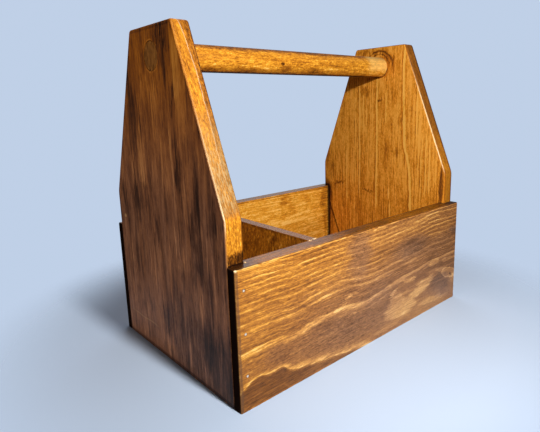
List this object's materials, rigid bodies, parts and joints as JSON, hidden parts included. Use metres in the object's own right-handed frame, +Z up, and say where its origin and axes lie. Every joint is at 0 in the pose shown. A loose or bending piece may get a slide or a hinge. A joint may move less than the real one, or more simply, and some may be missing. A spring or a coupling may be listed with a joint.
{
  "type": "carry tote",
  "caption": "Open-topped wooden carry tote: tapered end panels joined by a round handle, rabbeted side boards nailed over their edges, a bottom board and one cross divider.",
  "frame": {"origin": "middle of the underside, on the surface that the tote stands on", "axes": "+X towards the right end panel, along the handle; +Y towards the back side board; +Z up"},
  "size_m": [0.381, 0.2496, 0.3588],
  "materials": {
    "stained_pine": "oil-stained pine under a satin varnish, dark in the open grain and on end grain",
    "stained_dowel": "stained dowel under a satin varnish, darker in its pits",
    "nail_steel": "bare steel nail heads set level with the wood"
  },
  "bodies": {
    "root": {"left_end_panel": "stained_pine", "right_end_panel": "stained_pine", "front_side_board": "stained_pine", "back_side_board": "stained_pine", "bottom_board": "stained_pine", "cross_divider": "stained_pine", "handle_dowel": "stained_dowel", "front_left_nails": "nail_steel", "front_right_nails": "nail_steel", "back_left_nails": "nail_steel", "back_right_nails": "nail_steel"}
  },
  "joints": []
}
